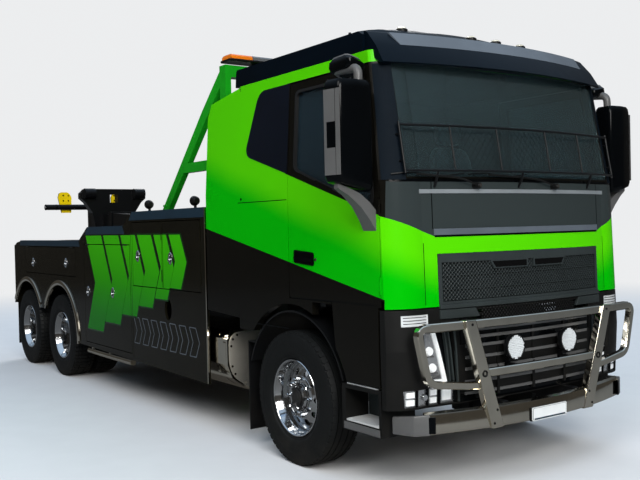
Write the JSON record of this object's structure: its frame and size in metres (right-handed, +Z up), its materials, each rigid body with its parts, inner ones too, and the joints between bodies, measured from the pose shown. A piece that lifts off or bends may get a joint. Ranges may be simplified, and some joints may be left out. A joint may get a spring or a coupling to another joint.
{
  "type": "heavy recovery tow truck",
  "caption": "Cab-over heavy recovery truck with locker body, telescopic boom, folding underlift, bull bar and rear bogie with twin wheels.",
  "frame": {"origin": "on the ground under the middle of the vehicle's length and width", "axes": "+X forward, +Y to the driver's left, +Z up"},
  "size_m": [9.012, 3.1584, 3.4648],
  "materials": {
    "frame_grey": "satin chassis paint",
    "engine_iron": "as cast",
    "cab_paint": "gloss, fading green over black",
    "roof_paint": "gloss black",
    "black_plastic": "grained",
    "black_steel": "gloss black",
    "body_paint": "gloss black",
    "polished_metal": "polished",
    "chrome": "bright",
    "tyre": "black",
    "lamp_lens": "clear and coloured lenses",
    "glass": "tinted",
    "seat_fabric": "woven"
  },
  "bodies": {
    "vehicle": {"body_trim": "polished_metal", "boom_base": "frame_grey", "bull_bar": "polished_metal", "bumper": "black_plastic", "cab_shell": "cab_paint", "cab_steps": "black_plastic", "chassis_frame": "frame_grey", "dashboard": "black_plastic", "deck": "frame_grey", "drive_axles": "frame_grey", "engine": "engine_iron", "front_axle": "frame_grey", "front_panel": "cab_paint", "grille": "black_plastic", "lamps": "lamp_lens", "light_rack": "cab_paint", "locker_bodies": "body_paint", "mudguards": "black_plastic", "roof_cap": "roof_paint", "screen_guard": "black_steel", "seats": "seat_fabric", "side_extenders": "cab_paint", "tail_panel": "body_paint", "tanks": "polished_metal", "windscreen": "glass"},
    "door_right": {"door_right": "cab_paint", "mirrors_right": "black_plastic"},
    "door_left": {"door_left": "cab_paint", "mirrors_left": "black_plastic"},
    "steering_right": {"knuckle_right": "frame_grey"},
    "steering_left": {"knuckle_left": "frame_grey"},
    "tie_rod": {"tie_rod": "frame_grey"},
    "front_wheel_right": {"front_tyre_right": "tyre", "front_rim_right": "chrome"},
    "front_wheel_left": {"front_tyre_left": "tyre", "front_rim_left": "chrome"},
    "mid_wheels_right": {"mid_tyres_right": "tyre", "mid_rims_right": "chrome"},
    "mid_wheels_left": {"mid_tyres_left": "tyre", "mid_rims_left": "chrome"},
    "rear_wheels_right": {"rear_tyres_right": "tyre", "rear_rims_right": "chrome"},
    "rear_wheels_left": {"rear_tyres_left": "tyre", "rear_rims_left": "chrome"},
    "lid_a_right": {"lid_a_right": "body_paint"},
    "lid_a_left": {"lid_a_left": "body_paint"},
    "lid_b_right": {"lid_b_right": "body_paint"},
    "lid_b_left": {"lid_b_left": "body_paint"},
    "lid_c_right": {"lid_c_right": "body_paint"},
    "lid_c_left": {"lid_c_left": "body_paint"},
    "lid_d_right": {"lid_d_right": "body_paint"},
    "lid_d_left": {"lid_d_left": "body_paint"},
    "boom_outer": {"boom_outer": "black_steel"},
    "boom_inner": {"boom_inner": "black_steel"},
    "lift_cylinders": {"lift_cylinders": "black_steel"},
    "lift_rods": {"lift_rods": "chrome"},
    "underlift_arm": {"underlift_arm": "black_steel"},
    "stinger": {"stinger": "black_steel"},
    "crossbar": {"crossbar": "black_steel"}
  },
  "joints": [
    {"name": "steer_right", "type": "hinge", "parent": "vehicle", "child": "steering_right", "pos_m": [3.028, -0.87, 0.522], "axis": [0, 0, 1], "range_deg": [-40, 40]},
    {"name": "steer_left", "type": "hinge", "parent": "vehicle", "child": "steering_left", "pos_m": [3.028, 0.87, 0.522], "axis": [0, 0, 1], "range_deg": [-40, 40]},
    {"name": "tie_rod_turn", "type": "hinge", "parent": "steering_left", "child": "tie_rod", "pos_m": [2.848, 0.87, 0.4], "axis": [0, 0, 1], "range_deg": [-40, 40]},
    {"name": "front_wheel_right_spin", "type": "hinge", "parent": "steering_right", "child": "front_wheel_right", "pos_m": [3.028, -1.098, 0.522], "axis": [0, 1, 0], "continuous": true},
    {"name": "front_wheel_left_spin", "type": "hinge", "parent": "steering_left", "child": "front_wheel_left", "pos_m": [3.028, 1.098, 0.522], "axis": [0, 1, 0], "continuous": true},
    {"name": "mid_wheels_right_spin", "type": "hinge", "parent": "vehicle", "child": "mid_wheels_right", "pos_m": [-2.372, -1.098, 0.522], "axis": [0, 1, 0], "continuous": true},
    {"name": "mid_wheels_left_spin", "type": "hinge", "parent": "vehicle", "child": "mid_wheels_left", "pos_m": [-2.372, 1.098, 0.522], "axis": [0, 1, 0], "continuous": true},
    {"name": "rear_wheels_right_spin", "type": "hinge", "parent": "vehicle", "child": "rear_wheels_right", "pos_m": [-3.742, -1.098, 0.522], "axis": [0, 1, 0], "continuous": true},
    {"name": "rear_wheels_left_spin", "type": "hinge", "parent": "vehicle", "child": "rear_wheels_left", "pos_m": [-3.742, 1.098, 0.522], "axis": [0, 1, 0], "continuous": true},
    {"name": "door_right_swing", "type": "hinge", "parent": "vehicle", "child": "door_right", "pos_m": [4.134, -1.241, 1.7], "axis": [0, 0, 1], "range_deg": [0, 70]},
    {"name": "door_left_swing", "type": "hinge", "parent": "vehicle", "child": "door_left", "pos_m": [4.134, 1.241, 1.7], "axis": [0, 0, -1], "range_deg": [0, 70]},
    {"name": "lid_a_right_swing", "type": "hinge", "parent": "vehicle", "child": "lid_a_right", "pos_m": [1.554, -1.245, 1.6], "axis": [0, 0, 1], "range_deg": [0, 90]},
    {"name": "lid_a_left_swing", "type": "hinge", "parent": "vehicle", "child": "lid_a_left", "pos_m": [1.554, 1.245, 1.6], "axis": [0, 0, -1], "range_deg": [0, 90]},
    {"name": "lid_b_right_swing", "type": "hinge", "parent": "vehicle", "child": "lid_b_right", "pos_m": [0.734, -1.245, 1.6], "axis": [0, 0, 1], "range_deg": [0, 90]},
    {"name": "lid_b_left_swing", "type": "hinge", "parent": "vehicle", "child": "lid_b_left", "pos_m": [0.734, 1.245, 1.6], "axis": [0, 0, -1], "range_deg": [0, 90]},
    {"name": "lid_c_right_lift", "type": "hinge", "parent": "vehicle", "child": "lid_c_right", "pos_m": [-0.757, -1.245, 1.696], "axis": [-1, 0, 0], "range_deg": [0, 90]},
    {"name": "lid_c_left_lift", "type": "hinge", "parent": "vehicle", "child": "lid_c_left", "pos_m": [-0.757, 1.245, 1.696], "axis": [1, 0, 0], "range_deg": [0, 90]},
    {"name": "lid_d_right_lift", "type": "hinge", "parent": "vehicle", "child": "lid_d_right", "pos_m": [-2.792, -1.245, 1.656], "axis": [-1, 0, 0], "range_deg": [0, 90]},
    {"name": "lid_d_left_lift", "type": "hinge", "parent": "vehicle", "child": "lid_d_left", "pos_m": [-2.792, 1.245, 1.656], "axis": [1, 0, 0], "range_deg": [0, 90]},
    {"name": "boom_lift", "type": "hinge", "parent": "vehicle", "child": "boom_outer", "pos_m": [0.628, 0, 1.7], "axis": [0, 1, 0], "range_deg": [0, 40]},
    {"name": "boom_extend", "type": "slide", "parent": "boom_outer", "child": "boom_inner", "axis": [-0.9982, 0, 0.0593], "range_m": [0, 1.2]},
    {"name": "lift_cylinder_tilt", "type": "hinge", "parent": "vehicle", "child": "lift_cylinders", "pos_m": [-0.372, 0, 1.34], "axis": [0, 1, 0], "range_deg": [0, 50.88]},
    {"name": "lift_rod_slide", "type": "slide", "parent": "lift_cylinders", "child": "lift_rods", "axis": [-0.9134, 0, 0.4071], "range_m": [0, 0.68345]},
    {"name": "underlift_fold", "type": "hinge", "parent": "boom_inner", "child": "underlift_arm", "pos_m": [-4.302, 0, 0.8], "axis": [0, -1, 0], "range_deg": [0, 90]},
    {"name": "stinger_extend", "type": "slide", "parent": "underlift_arm", "child": "stinger", "axis": [0, 0, 1], "range_m": [0, 0.55]},
    {"name": "crossbar_swivel", "type": "hinge", "parent": "stinger", "child": "crossbar", "pos_m": [-4.452, 0, 2.23], "axis": [1, 0, 0], "range_deg": [-30, 30]}
  ],
  "couplings": [
    {"joint": "steer_left", "follows": "steer_right", "ratio": 1},
    {"joint": "tie_rod_turn", "follows": "steer_right", "ratio": -1},
    {"joint": "lift_cylinder_tilt", "follows": "boom_lift", "ratio": 1.2717},
    {"joint": "lift_rod_slide", "follows": "boom_lift", "m_per_rad": 0.97825}
  ]
}
